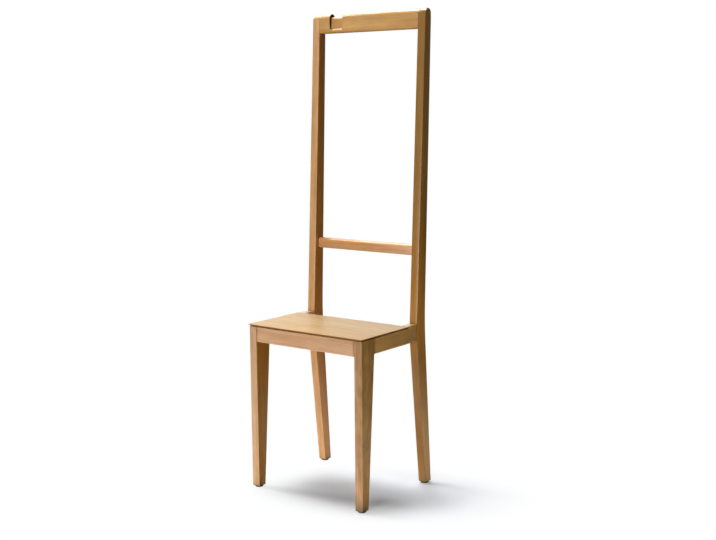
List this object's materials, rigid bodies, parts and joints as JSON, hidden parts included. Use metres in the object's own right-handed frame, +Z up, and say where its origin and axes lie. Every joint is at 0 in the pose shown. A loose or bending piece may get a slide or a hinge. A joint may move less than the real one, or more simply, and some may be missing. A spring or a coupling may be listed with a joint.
{
  "type": "clothes valet chair",
  "caption": "Slim wooden valet chair: shallow seat on tapered legs, with tall kneed back posts that carry a middle rail and a rounded top rail with a hanger saddle.",
  "frame": {"origin": "on the floor under the middle of the chair's width and depth", "axes": "+Z up, the seat's front faces -Y, +X to the right of someone who looks at the seat's front"},
  "size_m": [0.384, 0.3224, 1.3],
  "materials": {
    "frame_wood": "light hardwood with a satin clear lacquer, fine grain along each piece",
    "seat_wood": "light hardwood board with a satin clear lacquer, grain across the chair",
    "block_wood": "sawn hardwood, unlacquered",
    "dowel_wood": "turned hardwood, unlacquered",
    "steel": "zinc-plated screws and nails",
    "glide_plastic": "dark brown moulded plastic"
  },
  "bodies": {
    "root": {"left_front_leg": "frame_wood", "right_front_leg": "frame_wood", "left_rear_post": "frame_wood", "right_rear_post": "frame_wood", "left_side_rail": "frame_wood", "right_side_rail": "frame_wood", "front_rail": "frame_wood", "rear_rail": "frame_wood", "seat_board": "seat_wood", "mid_rail": "frame_wood", "top_rail": "frame_wood", "front_left_corner_block": "block_wood", "front_right_corner_block": "block_wood", "rear_left_corner_block": "block_wood", "rear_right_corner_block": "block_wood", "front_left_block_screws": "steel", "front_right_block_screws": "steel", "rear_left_block_screws": "steel", "rear_right_block_screws": "steel", "seat_screws": "steel", "left_front_rail_dowels": "dowel_wood", "right_front_rail_dowels": "dowel_wood", "left_rear_rail_dowels": "dowel_wood", "right_rear_rail_dowels": "dowel_wood", "left_side_rail_front_dowels": "dowel_wood", "right_side_rail_front_dowels": "dowel_wood", "left_side_rail_back_dowels": "dowel_wood", "right_side_rail_back_dowels": "dowel_wood", "left_mid_rail_dowels": "dowel_wood", "right_mid_rail_dowels": "dowel_wood", "left_top_rail_dowels": "dowel_wood", "right_top_rail_dowels": "dowel_wood", "front_left_glide": "glide_plastic", "front_right_glide": "glide_plastic", "rear_left_glide": "glide_plastic", "rear_right_glide": "glide_plastic", "glide_nails": "steel"}
  },
  "joints": []
}
